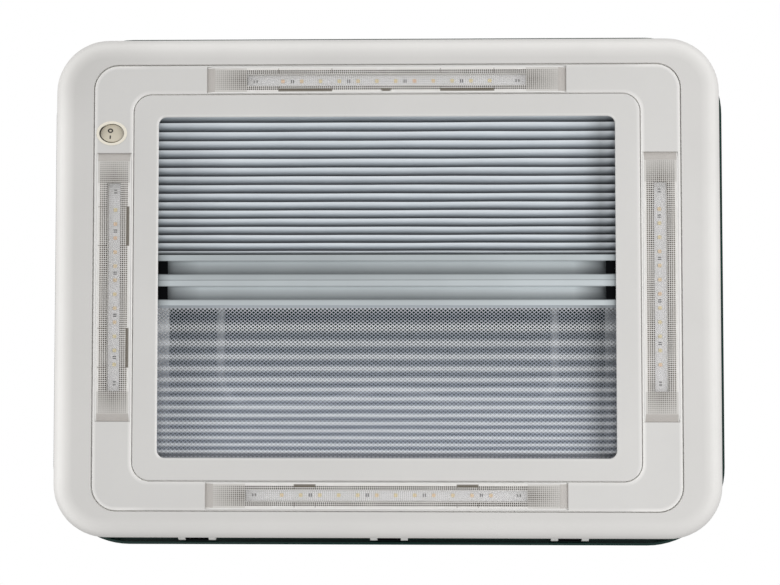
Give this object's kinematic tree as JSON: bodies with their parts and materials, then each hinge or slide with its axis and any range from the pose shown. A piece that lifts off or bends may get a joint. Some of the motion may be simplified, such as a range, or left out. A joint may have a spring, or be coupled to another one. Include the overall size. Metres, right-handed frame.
{
  "type": "caravan roof hatch",
  "caption": "Rectangular roof hatch with a tinted double dome on rear hinges, a propping bow, two pleated pull blinds and a ceiling trim with light strips.",
  "frame": {"origin": "under the middle of the hatch, in the plane of the trim's lowest face, at the centre of the outline seen from above", "axes": "+X along the hatch's long side, +Y to the hinge side, +Z out through the roof"},
  "size_m": [0.832, 0.6305, 0.127],
  "materials": {
    "trim_white": "warm white moulded plastic, fine satin grain",
    "frame_white": "white glass-filled plastic, matt",
    "switch_cream": "cream plastic, satin",
    "clear_cover": "clear plastic with a fine moulded prism grid",
    "reflector_grey": "warm grey moulded plastic",
    "light_board": "white solder mask with pale yellow light chips",
    "terminal_brass": "plain stamped",
    "screw_steel": "zinc plated",
    "bar_silver": "satin anodised extrusion",
    "black_plastic": "black, matt",
    "latch_grey": "grey, satin",
    "blackout_cloth": "pleated blackout cloth with a pale metallised face",
    "insect_mesh": "pleated grey insect mesh",
    "seal_rubber": "black extruded rubber",
    "dome_tint": "dark green-grey tinted acrylic, glossy",
    "bow_white": "pale grey powder coat"
  },
  "bodies": {
    "root": {"outer_trim": "trim_white", "light_band": "trim_white", "inner_trim": "trim_white", "blind_rail_left": "trim_white", "blind_rail_right": "trim_white", "blind_cassette_front": "trim_white", "blind_cassette_rear": "trim_white", "roof_frame": "frame_white", "clamp_frame": "frame_white", "hinge_brackets": "frame_white", "latch_keepers": "frame_white", "bow_brackets": "frame_white", "switch_housing": "switch_cream", "light_cover_front": "clear_cover", "light_cover_rear": "clear_cover", "light_cover_left": "clear_cover", "light_cover_right": "clear_cover", "light_tray_front": "reflector_grey", "light_tray_rear": "reflector_grey", "light_tray_left": "reflector_grey", "light_tray_right": "reflector_grey", "led_strip_front": "light_board", "led_strip_rear": "light_board", "led_strip_left": "light_board", "led_strip_right": "light_board", "switch_terminals": "terminal_brass", "trim_screws": "screw_steel", "clamp_screws": "screw_steel", "hinge_pins": "screw_steel", "bow_pins": "screw_steel", "blackout_fabric": "blackout_cloth", "flyscreen_mesh": "insect_mesh", "roof_gasket": "seal_rubber", "dome_seal": "seal_rubber"},
    "dome": {"dome_outer": "dome_tint", "dome_inner": "dome_tint", "hinge_knuckles": "black_plastic", "bow_catches": "frame_white", "latch_bases": "frame_white"},
    "bow": {"bow": "bow_white"},
    "latch_left": {"latch_handle_left": "latch_grey"},
    "latch_right": {"latch_handle_right": "latch_grey"},
    "blackout": {"blackout_bar": "bar_silver", "blackout_end_plugs": "black_plastic"},
    "flyscreen": {"flyscreen_bar": "bar_silver", "flyscreen_end_plugs": "black_plastic"},
    "rocker": {"switch_rocker": "switch_cream"}
  },
  "joints": [
    {"name": "dome_tilt", "type": "hinge", "parent": "root", "child": "dome", "pos_m": [0, 0.305, 0.076], "axis": [-1, 0, 0], "range_deg": [0, 45]},
    {"name": "bow_swing", "type": "hinge", "parent": "root", "child": "bow", "pos_m": [0, -0.214, 0.066], "axis": [1, 0, 0], "range_deg": [0, 36]},
    {"name": "latch_left_turn", "type": "hinge", "parent": "dome", "child": "latch_left", "pos_m": [-0.15, -0.205, 0.068], "axis": [0, 0, -1], "range_deg": [0, 90]},
    {"name": "latch_right_turn", "type": "hinge", "parent": "dome", "child": "latch_right", "pos_m": [0.15, -0.205, 0.068], "axis": [0, 0, 1], "range_deg": [0, 90]},
    {"name": "blackout_slide", "type": "slide", "parent": "root", "child": "blackout", "axis": [0, -1, 0], "range_m": [0, 0.14], "deforming": ["blackout_fabric"]},
    {"name": "flyscreen_slide", "type": "slide", "parent": "root", "child": "flyscreen", "axis": [0, 1, 0], "range_m": [0, 0.16], "deforming": ["flyscreen_mesh"]},
    {"name": "switch_rock", "type": "hinge", "parent": "root", "child": "rocker", "pos_m": [-0.32965, -0.1845, 0.00611], "axis": [1, 0, 0], "range_deg": [0, 13]}
  ],
  "couplings": [
    {"joint": "bow_swing", "follows": "dome_tilt", "ratio": 0.8}
  ]
}
